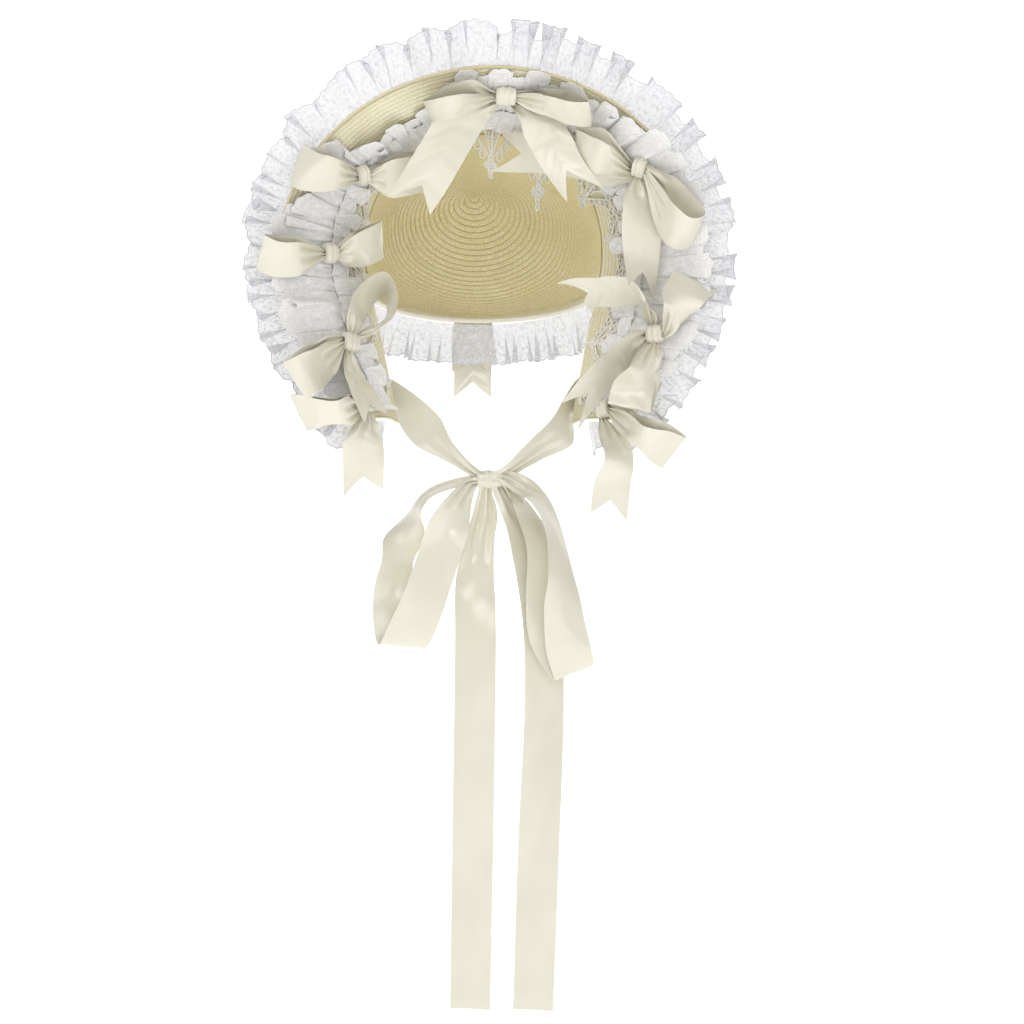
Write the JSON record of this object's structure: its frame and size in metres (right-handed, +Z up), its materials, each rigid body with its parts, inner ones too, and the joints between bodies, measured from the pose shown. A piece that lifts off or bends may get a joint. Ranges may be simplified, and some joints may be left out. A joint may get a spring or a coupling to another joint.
{
  "type": "poke bonnet",
  "caption": "Straw bonnet with a deep flared poke round the face, gathered lace frills, satin bows and long chin ribbons tied in a bow.",
  "frame": {"origin": "the seat of the head, at the middle of the inside of the crown's top", "axes": "+X to the right as seen facing the opening, +Y from the face opening to the back of the crown, +Z up"},
  "size_m": [0.367, 0.2292, 0.7314],
  "materials": {
    "straw": "sewn straw braid, matt",
    "satin": "ivory satin ribbon, soft sheen",
    "lace": "white net lace, sheer and matt",
    "guipure": "ivory corded lace, matt"
  },
  "bodies": {
    "root": {"straw_brim": "straw", "straw_crown": "straw", "nape_binding": "satin", "nape_frill": "lace", "edge_frill": "lace", "outward_frill": "lace", "inward_frill": "lace", "guipure_edging": "guipure", "chin_tail_left": "satin", "chin_tail_right": "satin", "chin_loop_left": "satin", "chin_loop_right": "satin", "chin_strap_left": "satin", "chin_strap_right": "satin", "upper_left_bow_loop_left": "satin", "upper_left_bow_loop_right": "satin", "mid_left_bow_loop_left": "satin", "mid_left_bow_loop_right": "satin", "jaw_left_bow_loop": "satin", "jaw_left_bow_tail": "satin", "low_left_bow_loop_left": "satin", "low_left_bow_loop_up": "satin", "low_left_bow_tail": "satin", "jaw_right_bow_loop": "satin", "jaw_right_bow_tail": "satin", "low_right_bow_tail_low": "satin", "low_right_bow_loop_down": "satin", "low_right_bow_loop_right": "satin", "low_right_bow_tail_high": "satin", "upper_right_bow_tail_high": "satin", "upper_right_bow_loop_left": "satin", "upper_right_bow_tail_low": "satin", "upper_right_bow_loop_right": "satin", "top_bow_tail_left": "satin", "top_bow_tail_right": "satin", "top_bow_loop_left": "satin", "top_bow_loop_right": "satin", "back_bow_tail_under": "satin", "back_bow_tail_over": "satin", "back_bow_loop_left": "satin", "back_bow_loop_right": "satin", "upper_left_bow_knot": "satin", "mid_left_bow_knot": "satin", "jaw_left_bow_knot": "satin", "low_left_bow_knot": "satin", "jaw_right_bow_knot": "satin", "low_right_bow_knot": "satin", "upper_right_bow_knot": "satin", "top_bow_knot": "satin", "chin_knot": "satin", "back_bow_knot": "satin"}
  },
  "joints": []
}
